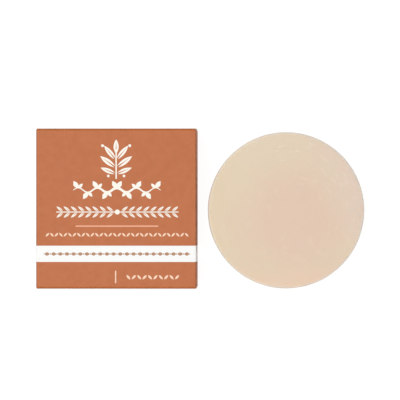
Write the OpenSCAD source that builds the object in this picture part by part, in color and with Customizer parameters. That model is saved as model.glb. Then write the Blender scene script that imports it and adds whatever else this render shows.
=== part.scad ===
// Round puck of shaving soap beside the tuck-end folding carton that it is sold in.
// The carton lies on its back, front face up.
// Both stand on z = 0, and the origin is the centre of their footprint.
// Each crease is a slot between two plates, as wide as the bent board that fills it.

/* [Puck] */
// Diameter of the soap
puck_d = 60; // [50:0.5:70]
// Thickness of the soap
puck_h = 20; // [14:0.5:30]
// Radius of its rounded edges
puck_edge_r = 1; // [0.5:0.1:4]

/* [Carton] */
// Thickness of the paperboard
board = 0.35; // [0.25:0.01:0.4]
// Clearance between the puck and each side wall
side_fit = 0.3; // [0.2:0.1:2]
// Clearance between the puck and each end wall
end_fit = 0.3; // [0.3:0.1:2]
// Inside depth beyond the puck's thickness, for the tucked lips
head_room = 3.3; // [3:0.1:6]
// Outer radius of a folded crease
crease_r = 0.8; // [0.75:0.05:1]
// Gap between the carton and the puck beside it
lay_gap = 4.3; // [2:0.1:40]

/* [Closures] */
// Length of the lip that tucks in
lip_l = 7; // [5:0.5:7.5]
// Inward lean of the tucked lip
lip_lean = 17; // [16:1:18]
// Radius of the lip's lead-in corners
lip_corner_r = 3; // [1:0.5:4]
// Length of a dust flap, from its crease to its free edge
dust_l = 15; // [8:1:16]
// How far its upper edge falls for each millimetre away from the crease
dust_slope = 0.55; // [0.55:0.01:0.7]
// Width of the glue flap
glue_flap_w = 10; // [6:0.5:14]

/* [Hidden] */

PRINTED = "#C37854";
BACK = "#BE7452";
GLUE = "#EDE6D2";
SOAP = "#E4CDB8";

// outside of the carton
carton_w = puck_d + 2 * (side_fit + board);
carton_l = puck_d + 2 * (end_fit + board);
carton_h = puck_h + head_room + 2 * board;

// the carton and the puck fill the footprint, with their front edges in line
total_w = carton_w + lay_gap + puck_d;
carton_x = (carton_w - total_w) / 2;
puck_x = (total_w - puck_d) / 2;
puck_y = (puck_d - carton_l) / 2;

// a crease has a quarter ring of board, with this inside radius
fold_r = crease_r - board;

// the pivot line of each tuck flap runs along the inside corner of its crease
tuck_y = carton_l / 2 - board;
tuck_z = carton_h - board;
// clearance at each side of the tuck flap, and how much narrower it gets towards its lip
tuck_relief = 0.15;
tuck_taper = 0.25;

// the lip's pivot line is on its upper face, which lies this far over the back panel
lip_clear = 0.45;
lip_z = 2 * board + lip_clear;
lip_relief = 1.2;
// length of the flat stretch that a bend sharper than a right angle takes from each of its two plates
lip_set = fold_r * tan((90 + lip_lean) / 2);

// dust flaps lie against the inside of the tuck flap
dust_gap = 0.15;
dust_y = tuck_y - dust_gap - board;
dust_x = carton_w / 2 - board;
// its upper edge starts this far below the tuck flap's pivot line, and its lower edge clears the lip
dust_top = 1.05;
dust_low_z = 2.85;
dust_chamfer = 2;

// the sleeve's panels end short of the creases at their ends
panel_l = carton_l - 2 * crease_r;
side_l = 2 * (dust_y - fold_r);

// the glue flap stands on the back panel by the thickness of the adhesive
glue_t = 0.05;
glue_margin = 0.6;
glue_setback = 0.25;
glue_taper = 3;
glue_z = board + glue_t;

facets = 96;
EPS = 0.001;

module on_carton() {
    translate([carton_x, 0, 0]) children();
}

// the closures are drawn at the end above the print; the other end is their mirror image
module at_end(side) {
    on_carton() mirror([0, side < 0 ? 1 : 0, 0]) children();
}

// a profile in the XZ plane, made into a panel that is centred on y = 0
module along_y(length) {
    translate([0, length / 2, 0]) rotate([90, 0, 0]) linear_extrude(length) children();
}

// section of a folded corner: the quarter ring around x and z whose outside faces (sx, sz)
module corner_2d(x, z, sx, sz) {
    translate([x, z]) intersection() {
        difference() {
            circle(r = crease_r, $fn = facets);
            circle(r = fold_r, $fn = facets);
        }
        translate([sx < 0 ? -crease_r : 0, sz < 0 ? -crease_r : 0]) square(crease_r);
    }
}

// the front with both of its long folded corners
module front_panel() {
    flat_w = carton_w - 2 * crease_r;
    color(PRINTED) on_carton() along_y(panel_l) {
        translate([-flat_w / 2, carton_h - board]) square([flat_w, board]);
        for (side = [-1, 1]) corner_2d(side * flat_w / 2, carton_h - crease_r, side, 1);
    }
}

// the back with its folded corner at the right; at the left its cut edge lies under the glue flap's crease.
// It reaches both ends in full, so that the lips tuck in over it
module back_panel() {
    left = -carton_w / 2 + glue_setback;
    right = carton_w / 2 - crease_r;
    color(BACK) on_carton() {
        translate([left, -carton_l / 2, 0]) cube([right - left, carton_l, board]);
        along_y(panel_l) corner_2d(right, crease_r, 1, -1);
    }
}

module side_panel(side, low) {
    color(PRINTED) on_carton()
        translate([side > 0 ? carton_w / 2 - board : -carton_w / 2, -side_l / 2, low])
            cube([board, side_l, carton_h - crease_r - low]);
}

module left_side_panel() {
    side_panel(-1, glue_z + crease_r);
}

module right_side_panel() {
    side_panel(1, crease_r);
}

// the folded corner under the left side panel, and the tapered flap that it carries
module glue_flap() {
    root_x = -carton_w / 2 + crease_r;
    half = side_l / 2 - glue_margin;
    color(BACK) on_carton() {
        along_y(2 * half) corner_2d(root_x, glue_z + crease_r, -1, -1);
        translate([0, 0, glue_z]) linear_extrude(board) polygon([
            [root_x, -half],
            [root_x + glue_flap_w, -half + glue_taper],
            [root_x + glue_flap_w, half - glue_taper],
            [root_x, half]
        ]);
    }
}

module glue_seam() {
    root_x = -carton_w / 2 + crease_r;
    half = side_l / 2 - glue_margin - glue_taper;
    color(GLUE) on_carton()
        translate([root_x + glue_margin, -half, board])
            cube([glue_flap_w - 2 * glue_margin, 2 * half, glue_t]);
}

// a plate that hangs from the front panel's crease and covers the whole end
module tuck_flap(side) {
    top = tuck_z - fold_r;
    bottom = lip_z + lip_set;
    top_w = carton_w - 2 * tuck_relief;
    bottom_w = top_w - 2 * tuck_taper;
    color(PRINTED) at_end(side)
        translate([0, tuck_y + board, 0]) rotate([90, 0, 0]) linear_extrude(board) polygon([
            [-top_w / 2, top],
            [-bottom_w / 2, bottom],
            [bottom_w / 2, bottom],
            [top_w / 2, top]
        ]);
}

// the lip leans inward from its pivot line, with rounded lead-in corners
module tuck_lip(side) {
    w = carton_w - 2 * (board + lip_relief);
    color(PRINTED) at_end(side)
        translate([0, tuck_y, lip_z]) rotate([-lip_lean, 0, 0])
            translate([0, 0, -board]) linear_extrude(board) {
                translate([-w / 2, lip_corner_r - lip_l]) square([w, lip_l - lip_set - lip_corner_r]);
                translate([lip_corner_r - w / 2, -lip_l]) square([w - 2 * lip_corner_r, lip_corner_r + EPS]);
                for (x = [-1, 1])
                    translate([x * (w / 2 - lip_corner_r), lip_corner_r - lip_l])
                        circle(r = lip_corner_r, $fn = facets);
            }
}

// a plate that folds in from a side panel's end; its upper edge slopes away from the tuck flap's crease
module dust_flap(side, hand) {
    high = tuck_z - dust_top;
    color(PRINTED) at_end(side) mirror([hand < 0 ? 1 : 0, 0, 0])
        translate([dust_x, dust_y + board, 0]) rotate([90, 0, 0]) linear_extrude(board) polygon([
            [-fold_r, high - dust_slope * fold_r],
            [-dust_l, high - dust_slope * dust_l],
            [-dust_l, dust_low_z + dust_chamfer],
            [dust_chamfer - dust_l, dust_low_z],
            [-fold_r, dust_low_z]
        ]);
}

module top_tuck_flap() {
    tuck_flap(1);
}

module top_tuck_lip() {
    tuck_lip(1);
}

module top_dust_flap_left() {
    dust_flap(1, -1);
}

module top_dust_flap_right() {
    dust_flap(1, 1);
}

module bottom_tuck_flap() {
    tuck_flap(-1);
}

module bottom_tuck_lip() {
    tuck_lip(-1);
}

module bottom_dust_flap_left() {
    dust_flap(-1, -1);
}

module bottom_dust_flap_right() {
    dust_flap(-1, 1);
}

// a cast disc with both rims rounded
module soap_puck() {
    core_r = puck_d / 2 - puck_edge_r;
    color(SOAP) translate([puck_x, puck_y, 0]) rotate_extrude($fn = facets) {
        square([core_r, puck_h]);
        translate([0, puck_edge_r]) square([puck_d / 2, puck_h - 2 * puck_edge_r]);
        for (z = [puck_edge_r, puck_h - puck_edge_r])
            translate([core_r, z]) circle(r = puck_edge_r, $fn = facets);
    }
}

front_panel();
back_panel();
left_side_panel();
right_side_panel();
glue_flap();
glue_seam();
top_tuck_flap();
top_tuck_lip();
top_dust_flap_left();
top_dust_flap_right();
bottom_tuck_flap();
bottom_tuck_lip();
bottom_dust_flap_left();
bottom_dust_flap_right();
soap_puck();
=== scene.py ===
import math

import bmesh
import bpy
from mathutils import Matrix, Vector, noise


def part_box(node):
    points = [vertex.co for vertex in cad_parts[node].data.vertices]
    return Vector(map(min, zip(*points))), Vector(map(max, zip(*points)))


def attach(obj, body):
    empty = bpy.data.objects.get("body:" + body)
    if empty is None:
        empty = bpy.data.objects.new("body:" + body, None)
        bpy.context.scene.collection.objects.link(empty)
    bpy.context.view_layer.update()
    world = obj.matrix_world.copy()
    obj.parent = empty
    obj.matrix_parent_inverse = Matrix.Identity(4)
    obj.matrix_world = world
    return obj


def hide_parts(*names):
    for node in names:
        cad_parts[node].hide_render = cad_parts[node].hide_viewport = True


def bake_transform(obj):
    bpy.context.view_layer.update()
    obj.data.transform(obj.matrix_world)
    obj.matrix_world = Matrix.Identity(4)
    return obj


# A round puck of shaving soap, beside the folding carton that it is sold in.
# Lengths are in metres, and those of the print and the patterns in millimetres.
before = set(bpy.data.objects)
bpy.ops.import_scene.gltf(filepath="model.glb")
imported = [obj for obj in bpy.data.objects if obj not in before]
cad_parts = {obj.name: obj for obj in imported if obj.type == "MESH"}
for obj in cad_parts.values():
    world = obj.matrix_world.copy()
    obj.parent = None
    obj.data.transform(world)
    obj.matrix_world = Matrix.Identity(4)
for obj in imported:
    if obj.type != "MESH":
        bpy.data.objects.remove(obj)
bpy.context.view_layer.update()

MM = 0.001
X, Y, Z = Vector((1, 0, 0)), Vector((0, 1, 0)), Vector((0, 0, 1))

# the carton's own measures, from the frame
FRONT_LO, FRONT_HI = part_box("front_panel")
TUCK_LO, TUCK_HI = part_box("top_tuck_flap")
BOARD = TUCK_HI.y - TUCK_LO.y
CREASE = FRONT_HI.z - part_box("right_side_panel")[1].z
MIDDLE = Vector(((FRONT_LO.x + FRONT_HI.x) / 2, 0, 0))
HALF_WIDTH = (FRONT_HI.x - FRONT_LO.x) / 2
HALF_LENGTH = TUCK_HI.y
HEIGHT = FRONT_HI.z

# what the flaps' boxes don't say. A tuck crease is wider than its flap by CORNER_COVER at each side
# of its root. A lip is bent by LIP_TURN degrees from its flap, and starts where that bend ends.
CORNER_COVER = 0.09 * MM
LIP_LENGTH = 6.39 * MM
LIP_RELIEF = 1.2 * MM
LIP_HALF_WIDTH = HALF_WIDTH - BOARD - LIP_RELIEF
LIP_CORNER = 3.0 * MM
LIP_TURN = 107
DUST_SLOPE = 0.55
DUST_CHAMFER = 2.0 * MM
DUST_SLIT = 0.05 * MM
GLUE_TAPER = 3.0 * MM

# outer radius of the folds that stay folded or only straighten: the sleeve's four long ones, and
# those of the dust flaps
FOLD = 0.5 * MM

# how far the panels sink in between their folds, and how wide the unevenness of that is
FRONT_SINK = 0.16 * MM
BACK_SINK = 0.10 * MM
SIDE_SINK = 0.12 * MM
TUCK_SINK = 0.10 * MM
DUST_SINK = 0.04 * MM
RIPPLE_SIZE = 17 * MM

# how finely the board is divided, and how round its cut edges are
ARC_STEPS = 12
CELL = 1.6 * MM
LEAST_CELLS = 4
EDGE_ROUND = 0.07 * MM
SHARP_ANGLE = math.radians(50)

# slots of every piece of board
PRINTED_FACE, BARE_FACE, CUT_EDGE = range(3)


# ---------------------------------------------------------------- node trees

class Number:
    """A number in a node tree. Arithmetic on it adds Math nodes."""

    def __init__(self, graph, socket):
        self.graph = graph
        self.socket = socket

    def __add__(self, other):
        return self.graph.math("ADD", self, other)

    def __sub__(self, other):
        return self.graph.math("SUBTRACT", self, other)

    def __rsub__(self, other):
        return self.graph.math("SUBTRACT", other, self)

    def __mul__(self, other):
        return self.graph.math("MULTIPLY", self, other)

    def __neg__(self):
        return self.graph.math("MULTIPLY", self, -1.0)

    def __abs__(self):
        return self.graph.math("ABSOLUTE", self)

    def at_least(self, other):
        return self.graph.math("MAXIMUM", self, other)

    def at_most(self, other):
        return self.graph.math("MINIMUM", self, other)

    def times_plus(self, factor, extra):
        return self.graph.math("MULTIPLY_ADD", self, factor, extra)

    def remainder(self, pitch):
        return self.graph.math("FLOORED_MODULO", self, pitch)

    def ramp(self, low, high, start=0.0, end=1.0):
        """Runs from start to end as the number goes from low to high, and stays within them."""
        node = self.graph.node("ShaderNodeMapRange", interpolation_type="SMOOTHSTEP")
        for name, value in (("From Min", low), ("From Max", high), ("To Min", start), ("To Max", end)):
            node.inputs[name].default_value = value
        self.graph.feed(node.inputs["Value"], self)
        return Number(self.graph, node.outputs["Result"])


class Graph:
    """A material and its node tree, with short calls for the nodes used here."""

    def __init__(self, name):
        self.material = bpy.data.materials.new(name)
        self.material.use_nodes = True
        self.tree = self.material.node_tree
        self.shader = self.tree.nodes["Principled BSDF"]

    def node(self, kind, **settings):
        node = self.tree.nodes.new(kind)
        for name, value in settings.items():
            setattr(node, name, value)
        return node

    def feed(self, socket, value):
        """Links a number or a socket to the input, or sets the input to a plain value."""
        if isinstance(value, Number):
            value = value.socket
        if isinstance(value, bpy.types.NodeSocket):
            self.tree.links.new(value, socket)
        else:
            socket.default_value = value

    def math(self, operation, *values):
        """The result of a Math node."""
        node = self.node("ShaderNodeMath", operation=operation)
        for socket, value in zip(node.inputs, values):
            self.feed(socket, value)
        return Number(self, node.outputs[0])

    def vector(self, operation, *values):
        """The result of a Vector Math node, from (input, value) pairs."""
        node = self.node("ShaderNodeVectorMath", operation=operation)
        for name, value in values:
            self.feed(node.inputs[name], value)
        return node.outputs["Vector"]

    def place(self, centre):
        """Where a point lies from centre, in millimetres."""
        coordinates = self.node("ShaderNodeTexCoord").outputs["Object"]
        offset = self.vector("SUBTRACT", (0, coordinates), (1, centre))
        return self.vector("SCALE", (0, offset), ("Scale", 1 / MM))

    def parts(self, vector):
        node = self.node("ShaderNodeSeparateXYZ")
        self.feed(node.inputs[0], vector)
        return [Number(self, socket) for socket in node.outputs]

    def stretch(self, vector, factors):
        return self.vector("MULTIPLY", (0, vector), (1, factors))

    def noise(self, vector, scale, detail=2.0, distortion=0.0):
        """Noise about 0.5. scale is in repeats per millimetre."""
        node = self.node("ShaderNodeTexNoise")
        self.feed(node.inputs["Vector"], vector)
        node.inputs["Scale"].default_value = scale
        node.inputs["Detail"].default_value = detail
        node.inputs["Distortion"].default_value = distortion
        return Number(self, node.outputs["Fac"])

    def mix(self, first, second, share):
        """The first colour, turning to the second as share goes from 0 to 1."""
        node = self.node("ShaderNodeMix", data_type="RGBA")
        factor, colour_a, colour_b = node.inputs[0], node.inputs[6], node.inputs[7]
        self.feed(factor, share)
        self.feed(colour_a, first)
        self.feed(colour_b, second)
        return node.outputs[2]

    def bump(self, *layers):
        """Bumps from (height in millimetres, distance between its ends) pairs."""
        normal = None
        for height, depth in layers:
            node = self.node("ShaderNodeBump")
            node.inputs["Distance"].default_value = depth * MM
            self.feed(node.inputs["Height"], height)
            if normal is not None:
                self.feed(node.inputs["Normal"], normal)
            normal = node.outputs["Normal"]
        self.feed(self.shader.inputs["Normal"], normal)

    def set(self, **values):
        """Sets the shader's inputs, named with _ for a space."""
        for name, value in values.items():
            self.feed(self.shader.inputs[name.replace("_", " ")], value)


# ---------------------------------------------------------------- the print

# colours, linear
TERRACOTTA = (0.505, 0.147, 0.046, 1)
TERRACOTTA_DEEP = (0.480, 0.136, 0.041, 1)
COATED_WHITE = (0.90, 0.90, 0.885, 1)
CREAM = (0.92, 0.88, 0.79, 1)
PALE_PEACH = (0.91, 0.64, 0.47, 1)
PEACH = (0.82, 0.39, 0.24, 1)
BROWN = (0.45, 0.24, 0.14, 1)
RUBBED = (0.66, 0.37, 0.25, 1)
# painted shade: the ink's colour within half a millimetre of a fold
FOLD_SHADE = (0.265, 0.130, 0.078, 1)
BARE_LIGHT, BARE_DARK = (0.80, 0.77, 0.71, 1), (0.71, 0.67, 0.60, 1)
CORE_LIGHT, CORE_DARK = (0.58, 0.46, 0.33, 1), (0.46, 0.34, 0.23, 1)
FLECK = (0.42, 0.36, 0.30, 1)
GLUE_LIGHT, GLUE_DARK = (0.72, 0.66, 0.52, 1), (0.60, 0.52, 0.38, 1)

# how glossy the print is on the front, and on the other panels, which are duller
FRONT_GLOSS, PLAIN_GLOSS = 0.32, 0.02

# the layout of the front, in millimetres from its centre, with y up the print
EMBLEM_Y = 18.9
VINE_X, VINE_Y, VINE_HALF, VINE_WAVE, VINE_RISE = 0.3, 7.1, 16.7, 7.42, 0.9
VINE_STEM, VINE_TAPER = 0.62, 0.45
GARLAND_X, GARLAND_Y, GARLAND_HALF, GARLAND_PITCH = 0.45, -1.3, 23.4, 2.75
GARLAND_STEM, GARLAND_BEAD, GARLAND_BARE = 0.18, 0.95, 1.4
RULE_X, RULE_Y, RULE_HALF, RULE_THICK = 0.3, -6.7, 15.8, 0.55
BORDER_X, BORDER_Y, BORDER_HALF, BORDER_PITCH = 0.35, -10.0, 27.5, 1.72
BORDER_LEAN = 47
BAND_LOW, BAND_HIGH = -20.4, -14.2
BEADS_X, BEADS_Y, BEADS_HALF, BEADS_PITCH = 0.3, -17.35, 28.05, 2.55
BEAD_LENGTH, BEAD_WIDTH, DOT_RADIUS = 2.0, 1.3, 0.26
DIVIDER_X, DIVIDER_Y, DIVIDER_HALF, DIVIDER_THICK = -0.2, -26.15, 2.35, 0.45
SPRIG_X, SPRIG_Y, SPRIG_HALF, SPRIG_PITCH = 14.0, -26.25, 10.35, 2.07
VEIN_END = 0.85
INK_SOFTNESS = 0.10


def distance(x, y):
    """How far a point is from the origin."""
    return x.graph.math("SQRT", x * x + y * y)


def bar(x, y, half_x, half_y):
    """Below zero inside a rectangle about the origin."""
    return (abs(x) - half_x).at_least(abs(y) - half_y)


def disc(x, y, radius):
    """Below zero inside a circle about the origin."""
    return distance(x, y) - radius


def leaf(x, y, root, angle, length, width, vein=0.0):
    """Below zero inside a pointed leaf that grows from root at this angle. If vein is set, an open
    vein tapers from the root to VEIN_END of the leaf's length."""
    c, s = math.cos(math.radians(angle)), math.sin(math.radians(angle))
    along = y.times_plus(s / length, x.times_plus(c / length, -(root[0] * c + root[1] * s) / length))
    across = abs(y.times_plus(c, x.times_plus(-s, root[0] * s - root[1] * c)))
    blade = (along * (1.0 - along)).times_plus(-2 * width, across)
    if vein:
        blade = blade.at_least((VEIN_END - along).times_plus(vein, -across))
    return blade


def union(*shapes):
    """Below zero inside any of the shapes."""
    joined = shapes[0]
    for shape in shapes[1:]:
        joined = joined.at_most(shape)
    return joined


def inked(shape):
    """1 inside the shape and 0 outside, with the slightly soft edge of print."""
    return shape.ramp(-INK_SOFTNESS / 2, INK_SOFTNESS / 2, 1.0, 0.0)


def emblem(x, y):
    """An upright sprig of paired leaves with berries."""
    side = abs(x)
    leaves = [
        leaf(side, y, (0.1, -5.6), 22, 6.3, 1.75, vein=0.32),
        leaf(side, y, (0.1, -3.2), 36, 7.4, 2.0, vein=0.34),
        leaf(side, y, (0.1, -0.2), 50, 7.0, 1.85, vein=0.32),
        leaf(side, y, (0.0, 2.0), 90, 5.6, 1.95, vein=0.32),
    ]
    stem = bar(x, y + 1.8, 0.26, 5.7)
    berries = union(disc(side - 5.2, y - 5.2, 0.55), disc(side - 3.0, y + 6.4, 0.5))
    return union(stem, berries, *leaves)


def vine(x, y):
    """A waving stem, the same on both sides of its middle, with leaves on each crest."""
    reach = abs(x)
    wave = x.graph.math("COSINE", x * (2 * math.pi / VINE_WAVE))
    thickness = reach.times_plus(-VINE_TAPER / VINE_HALF, VINE_STEM)
    stem = abs(wave.times_plus(-VINE_RISE, y)) - thickness
    half_wave = VINE_WAVE / 2
    cell = (reach + half_wave / 2).remainder(half_wave) - half_wave / 2
    upward = y * x.graph.math("SIGN", wave)
    leaves = union(
        leaf(cell, upward, (-0.3, 0.7), 48, 3.7, 1.75),
        leaf(cell, upward, (-0.1, 0.7), 132, 2.4, 1.2),
    )
    return union(stem, leaves).at_least(reach - VINE_HALF)


def garland(x, y):
    """A straight stem with paired leaves that point away from a bead in the middle."""
    reach, height = abs(x), abs(y)
    cell = (reach - GARLAND_BARE).remainder(GARLAND_PITCH)
    leaves = leaf(cell, height, (0.05, 0.1), 38, 3.3, 0.92, vein=0.18)
    stem = bar(x, y, GARLAND_HALF, GARLAND_STEM)
    clipped = leaves.at_least(reach - GARLAND_HALF).at_least(GARLAND_BARE - reach)
    return union(stem, clipped, disc(x, y, GARLAND_BEAD))


def leaf_border(x, y, half, pitch, length, width):
    """A row of small leaves that lean up and down in turn, each about the middle of its cell."""
    flip = x.graph.math("SIGN", x.graph.math("SINE", x * (math.pi / pitch)))
    cell = x.remainder(pitch) - pitch / 2
    row = leaf(cell, y * flip, (-length * 0.34, -length * 0.36), BORDER_LEAN, length, width)
    return row.at_least(abs(x) - half)


def bead_border(x, y):
    """A row of pointed beads with a dot between each pair."""
    cell = x.remainder(BEADS_PITCH) - BEADS_PITCH / 2
    bead = leaf(cell, y, (-BEAD_LENGTH / 2, 0), 0, BEAD_LENGTH, BEAD_WIDTH)
    dot = disc(abs(cell) - BEADS_PITCH / 2, y, DOT_RADIUS)
    return union(bead, dot).at_least(abs(x) - BEADS_HALF)


def gap_to_fold(x, y, z):
    """How far a point on the carton is from its nearest folded edge."""
    gap_x = HALF_WIDTH / MM - abs(x)
    gap_y = HALF_LENGTH / MM - abs(y)
    gap_z = z.at_most(HEIGHT / MM - z)
    return gap_x.at_most(gap_y).at_least(gap_x.at_least(gap_y).at_most(gap_z))


def worn_ink_and_fold_shade(graph, place, gap):
    """Mottled terracotta, darkened along the folds by painted shade, and rubbed off in specks beside
    them.
    """
    mottle = graph.noise(place, 0.35, detail=5.0)
    colour = graph.mix(TERRACOTTA, TERRACOTTA_DEEP, mottle.ramp(0.30, 0.72))
    # painted shade: the ink turns darker towards each fold
    colour = graph.mix(colour, FOLD_SHADE, gap.ramp(0.22, 0.48, 0.60, 0.0))
    specks = graph.noise(place, 3.2, detail=4.0).ramp(0.56, 0.74)
    return graph.mix(colour, RUBBED, gap.ramp(0.20, 0.80, 0.45, 0.0) * specks)


def ornaments(graph, colour, x, y):
    """The front's artwork, over the colour below it."""
    large = union(
        emblem(x, y - EMBLEM_Y),
        vine(x - VINE_X, y - VINE_Y),
        garland(x - GARLAND_X, y - GARLAND_Y),
    )
    small = union(
        leaf_border(x - BORDER_X, y - BORDER_Y, BORDER_HALF, BORDER_PITCH, length=1.95, width=0.72),
        bar(x - DIVIDER_X, y - DIVIDER_Y, DIVIDER_THICK / 2, DIVIDER_HALF),
        leaf_border(x - SPRIG_X, y - SPRIG_Y, SPRIG_HALF, SPRIG_PITCH, length=2.25, width=0.85),
    )
    rule = bar(x - RULE_X, y - RULE_Y, RULE_HALF, RULE_THICK / 2)
    beads = bead_border(x - BEADS_X, y - BEADS_Y)
    for ink, shape in ((CREAM, large), (PALE_PEACH, small), (PEACH, rule), (BROWN, beads)):
        colour = graph.mix(colour, ink, inked(shape))
    return colour


def printed_board(name, artwork):
    """Satin-coated board with terracotta ink and a white band. artwork adds the front's ornaments."""
    graph = Graph(name)
    place = graph.place(MIDDLE)
    x, y, z = graph.parts(place)
    colour = worn_ink_and_fold_shade(graph, place, gap_to_fold(x, y, z))
    band_middle, band_half = (BAND_LOW + BAND_HIGH) / 2, (BAND_HIGH - BAND_LOW) / 2
    colour = graph.mix(colour, COATED_WHITE, inked(abs(y - band_middle) - band_half))
    if artwork:
        colour = ornaments(graph, colour, x, y)
    orange_peel = graph.noise(place, 0.9, detail=3.0)
    fibre = graph.noise(graph.stretch(place, (1.0, 0.45, 1.0)), 3.2, detail=4.0)
    graph.set(
        Base_Color=colour,
        Roughness=orange_peel.ramp(0.2, 0.8, 0.42, 0.54),
        IOR=1.46,
        Specular_IOR_Level=FRONT_GLOSS if artwork else PLAIN_GLOSS,
    )
    graph.bump((orange_peel, 0.010), (fibre, 0.006))
    return graph.material


def bare_board(name, light, dark, grain):
    """Unprinted board with short fibres and a few grey flecks."""
    graph = Graph(name)
    place = graph.place(MIDDLE)
    fibre = graph.noise(graph.stretch(place, (1.0, 0.3, 1.0)), grain, detail=6.0, distortion=0.6)
    flecks = graph.noise(graph.stretch(place, (1.0, 0.5, 0.8)), grain * 0.9, detail=3.0)
    colour = graph.mix(light, dark, fibre.ramp(0.32, 0.74))
    colour = graph.mix(colour, FLECK, flecks.ramp(0.68, 0.76, 0.0, 0.35))
    graph.set(Base_Color=colour, Roughness=fibre.ramp(0.2, 0.8, 0.82, 0.95), Specular_IOR_Level=0.25)
    graph.bump((fibre, 0.030))
    return graph.material


def dried_glue():
    """A clear film that has gone slightly yellow, with the marks of the roller that spread it."""
    graph = Graph("dried_glue")
    place = graph.place(MIDDLE)
    streaks = graph.noise(graph.stretch(place, (1.0, 0.08, 1.0)), 1.4, detail=4.0)
    graph.set(
        Base_Color=graph.mix(GLUE_LIGHT, GLUE_DARK, streaks.ramp(0.3, 0.7)),
        Roughness=streaks.ramp(0.3, 0.7, 0.22, 0.45),
        Subsurface_Weight=0.3,
        Subsurface_Radius=(1.0, 0.8, 0.5),
        Subsurface_Scale=0.2 * MM,
    )
    graph.bump((streaks, 0.02))
    return graph.material


# ---------------------------------------------------------------- meshes

def finished(name, mesh_data, materials, face_slots):
    """An object from points and faces, shaded smooth but for its sharp corners."""
    mesh = bpy.data.meshes.new(name)
    mesh.from_pydata(*mesh_data)
    for material in materials:
        mesh.materials.append(material)
    mesh.polygons.foreach_set("material_index", face_slots)
    work = bmesh.new()
    work.from_mesh(mesh)
    bmesh.ops.recalc_face_normals(work, faces=work.faces)
    for face in work.faces:
        face.smooth = True
    for edge in work.edges:
        edge.smooth = edge.calc_face_angle(0.0) < SHARP_ANGLE
    work.to_mesh(mesh)
    work.free()
    piece = bpy.data.objects.new(name, mesh)
    bpy.context.scene.collection.objects.link(piece)
    return piece


def flat(start, end, normal, ease=False):
    """Points from start to end with their normal, closer together near end if ease is set."""
    steps = max(LEAST_CELLS, math.ceil((end - start).length / CELL))
    shares = [i / steps for i in range(steps + 1)]
    if ease:
        shares = [math.sin(share * math.pi / 2) for share in shares]
    return [(start.lerp(end, share), normal) for share in shares]


def bend(centre, first, second, turn=90, radius=CREASE):
    """Points on the outside of a fold with their normals, from the direction first towards second,
    which is at a right angle to it, through turn degrees."""
    found = []
    for i in range(ARC_STEPS + 1):
        angle = math.radians(turn) * i / ARC_STEPS
        normal = math.cos(angle) * first + math.sin(angle) * second
        found.append((centre + radius * normal, normal))
    return found


def path(*stretches):
    """One line of points from stretches that meet end to end."""
    joined = list(stretches[0])
    for stretch in stretches[1:]:
        joined += stretch[1:]
    return joined


def uneven(depth):
    """How far a panel sinks in at a point, with shares u and v of its way along and across: not at
    all where it meets its neighbours, and up to depth between them."""
    def sink(point, u, v):
        ripple = 0.55 + 0.45 * noise.noise(point / RIPPLE_SIZE)
        return depth * ripple * (1 - (2 * u - 1) ** 4) * (1 - (2 * v - 1) ** 4)

    return sink


def level(point, u, v):
    """No sinking in at all."""
    return 0.0


def board_layers():
    """(share of the way in from the cut edges, depth) of each layer of a board's points, from the
    printed face down to the bare one. The steps between them round the cut edges."""
    corner = 1 - math.sqrt(0.5)
    upper = [(1, 0), (corner, corner * EDGE_ROUND), (0, EDGE_ROUND)]
    return upper + [(share, BOARD - depth) for share, depth in reversed(upper)]


def rim_of(columns, rows):
    """The points on the edge of a grid, in order round it."""
    rim = [(i, 0) for i in range(columns)] + [(columns, j) for j in range(rows)]
    return rim + [(columns - i, rows) for i in range(columns)] + [(0, rows - j) for j in range(rows)]


def board_faces(columns, rows, rim, last, index):
    """A board's faces and their slots: its printed and bare sides, then its edges. index gives a
    vertex from its layer, of which last is the bare side's, and its column and row."""
    faces, slots = [], []
    for layer, slot in ((0, PRINTED_FACE), (last, BARE_FACE)):
        for i in range(columns):
            for j in range(rows):
                square = ((i, j), (i + 1, j), (i + 1, j + 1), (i, j + 1))
                faces.append([index[layer, a, b] for a, b in square])
                slots.append(slot)
    for layer in range(last):
        for here, there in zip(rim, rim[1:] + rim[:1]):
            below = layer + 1
            strip = (layer, *here), (layer, *there), (below, *there), (below, *here)
            faces.append([index[corner] for corner in strip])
            slots.append(PRINTED_FACE if layer == 0 else CUT_EDGE)
    return faces, slots


def board(name, points, axis, span, cut="", sink=level):
    """A piece of board whose printed face runs along points and, at each, between span's two ends
    along axis. cut holds the sides that are cut edges: f first, l last, a lower, b upper end of the
    span. The other sides meet the next piece. sink says how far each point sinks in."""
    ends = [span(point) for point, _ in points]
    columns = len(points) - 1
    rows = max(LEAST_CELLS, math.ceil((ends[0][1] - ends[0][0]) / CELL))

    def spot(i, j):
        low, high = ends[i]
        return points[i][0] + axis * (low + (high - low) * j / rows)

    def inset(i, j):
        """The way in from the cut edges that this point is on."""
        way = Vector()
        if i == 0 and "f" in cut:
            way += (spot(1, j) - spot(0, j)).normalized()
        if i == columns and "l" in cut:
            way += (spot(i - 1, j) - spot(i, j)).normalized()
        if j == 0 and "a" in cut:
            way += axis
        if j == rows and "b" in cut:
            way -= axis
        return way * EDGE_ROUND

    layers, rim = board_layers(), rim_of(columns, rows)
    last, on_rim = len(layers) - 1, set(rim)
    vertices, index = [], {}
    for layer, (share, depth) in enumerate(layers):
        for i in range(columns + 1):
            for j in range(rows + 1):
                if layer in (0, last) or (i, j) in on_rim:
                    index[layer, i, j] = len(vertices)
                    down = depth + sink(spot(i, j), i / columns, j / rows)
                    vertices.append(spot(i, j) + inset(i, j) * share - down * points[i][1])
    faces, slots = board_faces(columns, rows, rim, last, index)
    return finished(name, (vertices, [], faces), board_materials(name), slots)


def board_materials(name):
    """The materials of the printed face, the bare face and the cut edges."""
    front = name == "front_panel_board"
    return [MATERIALS["front_print" if front else "plain_print"], MATERIALS["bare"], MATERIALS["cut"]]


def either_side(middle, half):
    """A span that is the same all along the piece."""
    return lambda point: (middle - half, middle + half)


# ---------------------------------------------------------------- the carton

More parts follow.
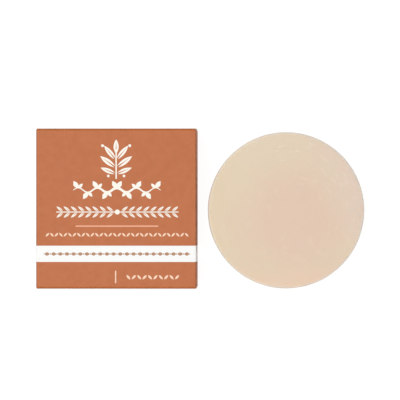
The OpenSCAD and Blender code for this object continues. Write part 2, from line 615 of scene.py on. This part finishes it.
def stand_for(piece, node, body):
    """Lets a piece of board take the place of a CAD node, and move with its body."""
    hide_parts(node)
    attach(piece, body)


def front_panel():
    """The front, with the folded corners at both of its sides."""
    left = Vector((FRONT_LO.x + FOLD, 0, HEIGHT - FOLD))
    right = Vector((FRONT_HI.x - FOLD, 0, HEIGHT - FOLD))
    face = flat(left + FOLD * Z, right + FOLD * Z, Z)
    points = path(bend(left, -X, Z, radius=FOLD), face, bend(right, Z, X, radius=FOLD))
    piece = board("front_panel_board", points, Y, either_side(0, FRONT_HI.y), sink=uneven(FRONT_SINK))
    stand_for(piece, "front_panel", "carton")


def back_panel():
    """The back, with the folded corner at its right. Its flat part reaches both ends in full."""
    lo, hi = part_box("back_panel")
    root = Vector((hi.x - FOLD, 0, FOLD))
    points = path(flat(Vector((lo.x, 0, 0)), root - FOLD * Z, -Z), bend(root, -Z, X, radius=FOLD))

    def span(point):
        half = min(hi.y, FRONT_HI.y + max(0, root.x - point.x))
        return -half, half

    piece = board("back_panel_board", points, Y, span, "fab", uneven(BACK_SINK))
    stand_for(piece, "back_panel", "carton")


def side_panel(hand, name):
    """A side wall, whose ends stand out above and below the dust flaps' creases."""
    lo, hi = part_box(name)
    flap_lo, flap_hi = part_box("top_dust_flap_left")
    x = hi.x if hand > 0 else lo.x
    above, below = flap_hi.z + DUST_SLIT, flap_lo.z - DUST_SLIT
    low = lo.z - (CREASE - FOLD)
    crease_y = hi.y + (CREASE - FOLD)
    heights = (HEIGHT - FOLD, above + DUST_SLIT, above, below, below - DUST_SLIT, low)
    corners = [Vector((x, 0, z)) for z in heights]
    points = path(*(flat(start, end, hand * X) for start, end in zip(corners, corners[1:])))

    def span(point):
        past = max(0, point.z - above, below - point.z)
        half = crease_y + (flap_hi.y - crease_y) * min(1, past / DUST_SLIT)
        return -half, half

    piece = board(name.replace("panel", "board"), points, Y, span, sink=uneven(SIDE_SINK))
    stand_for(piece, name, "carton")


def glue_flap():
    """The tapered flap under the left side panel, with the folded corner between them."""
    lo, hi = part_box("glue_flap")
    root = Vector((lo.x + FOLD, 0, lo.z + FOLD))
    points = path(bend(root, -X, -Z, radius=FOLD), flat(root - FOLD * Z, Vector((hi.x, 0, lo.z)), -Z))

    def span(point):
        half = hi.y - GLUE_TAPER * max(0, point.x - root.x) / (hi.x - root.x)
        return -half, half

    piece = board("glue_flap_board", points, Y, span, "lab")
    stand_for(piece, "glue_flap", "carton")


def crease(
    name, centre, first, second, axis, span, turn=90, radius=CREASE, sink=level
):
    """The folded strip between two plates, built in its resting shape."""
    points = bend(centre, first, second, turn, radius)
    piece = board(name, points, axis, span, "ab", sink)
    last = points[-1][1]
    inner = radius - BOARD
    centre + inner * first
    centre + inner * last
    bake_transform(piece)


def droop(point, u, v):
    """Lets the ends of a tuck flap's crease follow the front panel's rounded corners."""
    past = max(0, abs(point.x - MIDDLE.x) - (HALF_WIDTH - FOLD))
    return (1 - u) * (FOLD - math.sqrt(FOLD**2 - past**2))


def tuck_flap(end, side):
    """The flap that covers one end of the carton, with its crease at the front panel."""
    out = side * Y
    lo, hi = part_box(f"{end}_tuck_flap")
    flap = f"{end}_tuck"
    half_width = (hi.x - lo.x) / 2
    upper = Vector((0, side * (HALF_LENGTH - CREASE), hi.z))
    lower = Vector((0, upper.y, lo.z))

    def across(point):
        half = half_width + CORNER_COVER * (1 - side * (point.y - upper.y) / CREASE)
        return MIDDLE.x - half, MIDDLE.x + half

    crease(f"{end}_tuck_crease", upper, Z, out, X, across, sink=droop)
    points = flat(upper + CREASE * out, lower + CREASE * out, out)
    full_width = either_side(MIDDLE.x, half_width)
    plate = board(f"{end}_tuck_board", points, X, full_width, "ab", uneven(TUCK_SINK))
    stand_for(plate, f"{end}_tuck_flap", flap)
    return lower, half_width


def tuck_lip(end, side, centre, half_width):
    """The lip that goes inside, with its crease about centre at the edge of a flap this wide."""
    out = side * Y
    lip = f"{end}_lip"
    turn = math.radians(LIP_TURN)
    normal = math.cos(turn) * out - math.sin(turn) * Z
    inward = -math.sin(turn) * out - math.cos(turn) * Z
    start = centre + CREASE * normal

    def narrowing(point):
        share = (centre + CREASE * out - point).length / (2 * CREASE * math.sin(turn / 2))
        half = half_width + (LIP_HALF_WIDTH - half_width) * share
        return MIDDLE.x - half, MIDDLE.x + half

    def round_cornered(point):
        past = max(0, (point - start).length - (LIP_LENGTH - LIP_CORNER))
        half = LIP_HALF_WIDTH - LIP_CORNER + math.sqrt(max(0, LIP_CORNER**2 - past**2))
        return MIDDLE.x - half, MIDDLE.x + half

    crease(f"{end}_lip_crease", centre, out, -Z, X, narrowing, LIP_TURN)
    points = flat(start, start + LIP_LENGTH * inward, normal, ease=True)
    plate = board(f"{end}_lip_board", points, X, round_cornered, "lab")
    stand_for(plate, f"{end}_tuck_lip", lip)


def dust_flap(end, side, hand_name, hand):
    """One of the four small flaps behind the tuck flaps, with its crease."""
    node = f"{end}_dust_flap_{hand_name}"
    body = f"{end}_dust_{hand_name}"
    lo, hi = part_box(node)
    out, outer_y = side * Y, hi.y if side > 0 else lo.y
    root = Vector((MIDDLE.x + hand * (HALF_WIDTH - FOLD), outer_y - side * FOLD, 0))
    slope_x = MIDDLE.x + hand * (HALF_WIDTH - CREASE)
    free_x = lo.x if hand > 0 else hi.x

    def span(point):
        away = hand * (slope_x - point.x)
        to_edge = hand * (point.x - free_x)
        return lo.z + max(0, DUST_CHAMFER - to_edge), hi.z - DUST_SLOPE * max(0, away)

    def full_height(point):
        return lo.z, hi.z

    crease(f"{node}_crease", root, hand * X, out, Z, full_height, radius=FOLD)
    start = root + FOLD * out
    chamfer = Vector((free_x + hand * DUST_CHAMFER, outer_y, 0))
    points = path(flat(start, chamfer, out), flat(chamfer, Vector((free_x, outer_y, 0)), out))
    plate = board(f"{node}_board", points, Z, span, "lab", uneven(DUST_SINK))
    stand_for(plate, node, body)


def carton():
    """All the board, and the dried glue on the CAD's own seam."""
    front_panel()
    back_panel()
    side_panel(-1, "left_side_panel")
    side_panel(1, "right_side_panel")
    glue_flap()
    for end, side in (("top", 1), ("bottom", -1)):
        lip_centre, half_width = tuck_flap(end, side)
        tuck_lip(end, side, lip_centre, half_width)
        for hand_name, hand in (("left", -1), ("right", 1)):
            dust_flap(end, side, hand_name, hand)
    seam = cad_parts["glue_seam"]
    seam.material_slots[0].material = dried_glue()


# ---------------------------------------------------------------- the soap

SEGMENTS = 192
RIM_RADIUS = 0.8 * MM
RIM_STEPS = 8
FACE_RINGS = 40
SIDE_RINGS = 12

# the size of the surface's swells and dimples and, in millimetres, their depth. The underside stands
# on the outer fifth of its radius
SWELL_SIZE, DIMPLE_SIZE = 13 * MM, 3.5 * MM
SWELL_DEPTH, DIMPLE_DEPTH = 0.07, 0.025
STANDING_SHARE = 0.2

CREAMY = (0.714, 0.590, 0.433, 1)
WARM = (0.705, 0.574, 0.404, 1)
PINKISH = (0.718, 0.537, 0.408, 1)
GREYISH = (0.712, 0.563, 0.462, 1)
PEACHY = (0.752, 0.556, 0.408, 1)
# painted highlight, in pale arcs on the top
PAINTED_HIGHLIGHT = (0.84, 0.73, 0.62, 1)
# painted light on the rims
PAINTED_RIM_LIGHT = (0.82, 0.76, 0.69, 1)
CLOUDY = (0.80, 0.68, 0.55, 1)


def painted_highlight_arcs(graph, x, y, z, from_middle, height):
    """Faint pale arcs about the middle, a painted highlight: most of them towards the upper right of
    the top, and few on the side.
    """
    turn = graph.math("ARCTAN2", y, x)
    along = graph.node("ShaderNodeCombineXYZ")
    graph.feed(along.inputs["X"], turn * 6.0)
    graph.feed(along.inputs["Y"], from_middle)
    graph.feed(along.inputs["Z"], z)
    arcs = graph.noise(along.outputs["Vector"], 0.75, detail=3.0, distortion=0.3)
    toward_highlight = y.times_plus(1.4, x).ramp(12.0, 34.0, 0.10, 0.55)
    near_top = z.ramp(height / MM - 1.5, height / MM - 0.3, 0.2, 1.0)
    return arcs.ramp(0.58, 0.74) * toward_highlight * near_top


def soap_material(centre, radius, height):
    """Cast soap: slightly translucent, with soft drifts of colour and painted light, a pale band, on
    its rims.
    """
    graph = Graph("cast_soap")
    place = graph.place(centre)
    x, y, z = graph.parts(place)
    drift = graph.noise(place, 0.045, detail=3.0)
    from_middle = distance(x, y)
    from_core = distance(x - 3.0, y + 4.0)
    middle = drift.times_plus(-18.0, from_core).ramp(0.0, 22.0, 1.0, 0.0)
    colour = graph.mix(CREAMY, WARM, (x + y).ramp(-34.0, 20.0, 1.0, 0.0))
    colour = graph.mix(colour, PINKISH, middle)
    rightward = y.times_plus(0.35, x * 0.9)
    colour = graph.mix(colour, GREYISH, drift.times_plus(12.0, rightward).ramp(20.0, 32.0, 0.0, 0.85))
    colour = graph.mix(colour, PEACHY, drift.times_plus(-10.0, y).ramp(-34.0, -25.0, 0.9, 0.0))
    clouds = graph.noise(place, 0.22, detail=4.0, distortion=0.4)
    colour = graph.mix(colour, CLOUDY, clouds.ramp(0.52, 0.80, 0.0, 0.22))
    streaks = painted_highlight_arcs(graph, x, y, z, from_middle, height)
    # painted highlight: the pale arcs are mixed into the colour
    colour = graph.mix(colour, PAINTED_HIGHLIGHT, streaks)
    to_rim = (radius / MM - from_middle).at_least(z.at_most(height / MM - z))
    # painted light: the rims turn paler within about a millimetre of their edges
    colour = graph.mix(colour, PAINTED_RIM_LIGHT, to_rim.ramp(0.0, 1.1, 0.75, 0.0))
    grain = graph.noise(place, 1.9, detail=5.0)
    graph.set(
        Base_Color=colour,
        Roughness=clouds.ramp(0.25, 0.75, 0.36, 0.48),
        IOR=1.46,
        Subsurface_Weight=0.25,
        Subsurface_Radius=(1.0, 0.55, 0.35),
        Subsurface_Scale=3.0 * MM,
    )
    graph.bump((clouds, 0.05), (streaks, 0.02), (grain, 0.008))
    return graph.material


def puck_outline(radius, height):
    """(radius, z) of each ring from the middle of the underside to the middle of the top."""
    flat_radius = radius - RIM_RADIUS
    low = [(flat_radius * (i + 1) / FACE_RINGS, 0) for i in range(FACE_RINGS)]
    turns = [math.radians(90) * (i + 1) / RIM_STEPS for i in range(RIM_STEPS)]
    rim = [(flat_radius + RIM_RADIUS * math.sin(t), RIM_RADIUS * (1 - math.cos(t))) for t in turns]
    straight = height / 2 - RIM_RADIUS
    wall = [(radius, RIM_RADIUS + straight * (i + 1) / SIDE_RINGS) for i in range(SIDE_RINGS)]
    half = low + rim + wall
    return half + [(r, height - z) for r, z in reversed(half[:-1])]


def shrinkage(centre, radius, height):
    """Draws the puck's points in a little towards its heart, as cast soap shrinks unevenly. The
    outside of the underside is drawn in least, because the puck stands on it."""
    def shrunk(ring_radius, z, direction):
        point = ring_radius * direction + z * Z
        swell = 0.5 + 0.5 * noise.noise(point / SWELL_SIZE)
        dimple = 0.5 + 0.5 * noise.noise(point / DIMPLE_SIZE + Vector((7, 3, 1)))
        outward = (point - height / 2 * Z).normalized()
        shrink = (SWELL_DEPTH * swell + DIMPLE_DEPTH * dimple) * MM
        standing = 0
        if z == 0:
            standing = max(0, ring_radius / radius - (1 - STANDING_SHARE)) / STANDING_SHARE
        return centre + point - outward * shrink * (1 - standing)

    return shrunk


def revolved(outline, point_at):
    """The points and faces of a closed form from the rings of its outline. point_at gives a point
    from a ring's radius, its height and a direction."""
    vertices, faces = [], []
    for ring_radius, z in outline:
        for k in range(SEGMENTS):
            angle = 2 * math.pi * k / SEGMENTS
            direction = Vector((math.cos(angle), math.sin(angle), 0))
            vertices.append(point_at(ring_radius, z, direction))
    for ring in range(len(outline) - 1):
        for k in range(SEGMENTS):
            a, b = ring * SEGMENTS + k, ring * SEGMENTS + (k + 1) % SEGMENTS
            faces.append([a, b, b + SEGMENTS, a + SEGMENTS])
    for ring in (0, len(outline) - 1):
        first, middle = ring * SEGMENTS, len(vertices)
        vertices.append(point_at(0, outline[ring][1], X))
        faces += [[middle, first + k, first + (k + 1) % SEGMENTS] for k in range(SEGMENTS)]
    return vertices, faces


def soap_puck():
    """The cast disc."""
    lo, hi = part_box("soap_puck")
    centre = Vector(((lo.x + hi.x) / 2, (lo.y + hi.y) / 2, 0))
    radius, height = (hi.x - lo.x) / 2, hi.z
    vertices, faces = revolved(puck_outline(radius, height), shrinkage(centre, radius, height))
    soap = soap_material(centre, radius, height)
    piece = finished("soap_disc", (vertices, [], faces), [soap], [0] * len(faces))
    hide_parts("soap_puck")
    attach(piece, "puck")


# ---------------------------------------------------------------- the studio

# the camera looks down from VIEW_DISTANCE over its target, a little from the right, and takes in
# VIEW_WIDTH at the height of the target. Its sensor is in millimetres
VIEW_TARGET = Vector((-0.10 * MM, 3.30 * MM, 22 * MM))
VIEW_WIDTH = 0.1531
VIEW_DISTANCE = 2.0
VIEW_SIDESTEP = 0.046
VIEW_END = 10
SENSOR = 36.0

# how far the floor reaches each way. It glows with GLOW_BELOW up to GLOW_FROM millimetres from the
# middle, and with GLOW_AROUND from GLOW_TO on
FLOOR_HALF = 3.0
FLOOR_LIGHT, FLOOR_DARK = (0.16, 0.16, 0.16, 1), (0.14, 0.14, 0.14, 1)
GLOW_BELOW, GLOW_AROUND = 0.92, 1.0
GLOW_FROM, GLOW_TO = 120, 400

ROOM_STRENGTH = 0.18

# name, place, width and watts of each soft light
SOFTBOXES = (
    ("key", (-0.36, 0.32, 1.2), 0.7, 9.3),
    ("fill", (-0.10, -0.45, 1.2), 0.7, 6.3),
    ("rim", (0.80, -0.20, 0.35), 0.5, 0.8),
)


def pale_floor():
    """A white light table, which leaves only a faint shadow where the object stands."""
    graph = Graph("pale_floor")
    place = graph.place((0, 0, 0))
    x, y, _ = graph.parts(place)
    grain = graph.noise(place, 0.02, detail=3.0)
    graph.set(
        Base_Color=graph.mix(FLOOR_LIGHT, FLOOR_DARK, grain),
        Roughness=0.9,
        Specular_IOR_Level=0.1,
        Emission_Color=(1, 1, 1, 1),
        Emission_Strength=distance(x, y).ramp(GLOW_FROM, GLOW_TO, GLOW_BELOW, GLOW_AROUND),
    )
    corners = [FLOOR_HALF * (a * X + b * Y) for a, b in ((-1, -1), (1, -1), (1, 1), (-1, 1))]
    mesh = bpy.data.meshes.new("floor")
    mesh.from_pydata(corners, [], [(0, 1, 2, 3)])
    mesh.materials.append(graph.material)
    floor = bpy.data.objects.new("floor", mesh)
    bpy.context.scene.collection.objects.link(floor)


def softbox(name, place, width, watts):
    """A square soft light that faces the object."""
    light = bpy.data.lights.new(name, "AREA")
    light.shape = "SQUARE"
    light.size = width
    light.energy = watts
    lamp = bpy.data.objects.new(name, light)
    lamp.location = place
    lamp.rotation_euler = (-Vector(place)).to_track_quat("-Z", "Y").to_euler()
    lamp.visible_camera = False
    bpy.context.scene.collection.objects.link(lamp)


def surroundings():
    """A dim, even room that looks white where it is seen directly."""
    world = bpy.data.worlds.new("studio")
    bpy.context.scene.world = world
    world.use_nodes = True
    tree = world.node_tree
    seen_directly = tree.nodes.new("ShaderNodeLightPath").outputs["Is Camera Ray"]
    room = tree.nodes["Background"]
    room.inputs["Color"].default_value = (1, 1, 1, 1)
    room.inputs["Strength"].default_value = ROOM_STRENGTH
    white = tree.nodes.new("ShaderNodeBackground")
    choice = tree.nodes.new("ShaderNodeMixShader")
    white.inputs["Color"].default_value = (1, 1, 1, 1)
    tree.links.new(seen_directly, choice.inputs["Fac"])
    tree.links.new(room.outputs[0], choice.inputs[1])
    tree.links.new(white.outputs[0], choice.inputs[2])
    tree.links.new(choice.outputs[0], tree.nodes["World Output"].inputs["Surface"])


def camera():
    """A camera so far away that the view is almost parallel, as in the photograph."""
    data = bpy.data.cameras.new("camera")
    data.sensor_width = SENSOR
    data.lens = SENSOR * VIEW_DISTANCE / VIEW_WIDTH
    data.clip_end = VIEW_END
    eye = bpy.data.objects.new("camera", data)
    eye.location = VIEW_TARGET + Vector((VIEW_SIDESTEP, 0, VIEW_DISTANCE))
    eye.rotation_euler = (0, math.atan2(VIEW_SIDESTEP, VIEW_DISTANCE), 0)
    bpy.context.scene.collection.objects.link(eye)
    bpy.context.scene.camera = eye


def studio():
    """Everything round the object: floor, room, lights and camera."""
    pale_floor()
    surroundings()
    for name, place, width, watts in SOFTBOXES:
        softbox(name, place, width, watts)
    camera()
    bpy.context.scene.view_settings.view_transform = "Standard"


MATERIALS = {
    "front_print": printed_board("front_print", artwork=True),
    "plain_print": printed_board("plain_print", artwork=False),
    "bare": bare_board("bare_board", BARE_LIGHT, BARE_DARK, grain=2.2),
    "cut": bare_board("cut_edge", CORE_LIGHT, CORE_DARK, grain=4.5),
}

carton()
soap_puck()
studio()
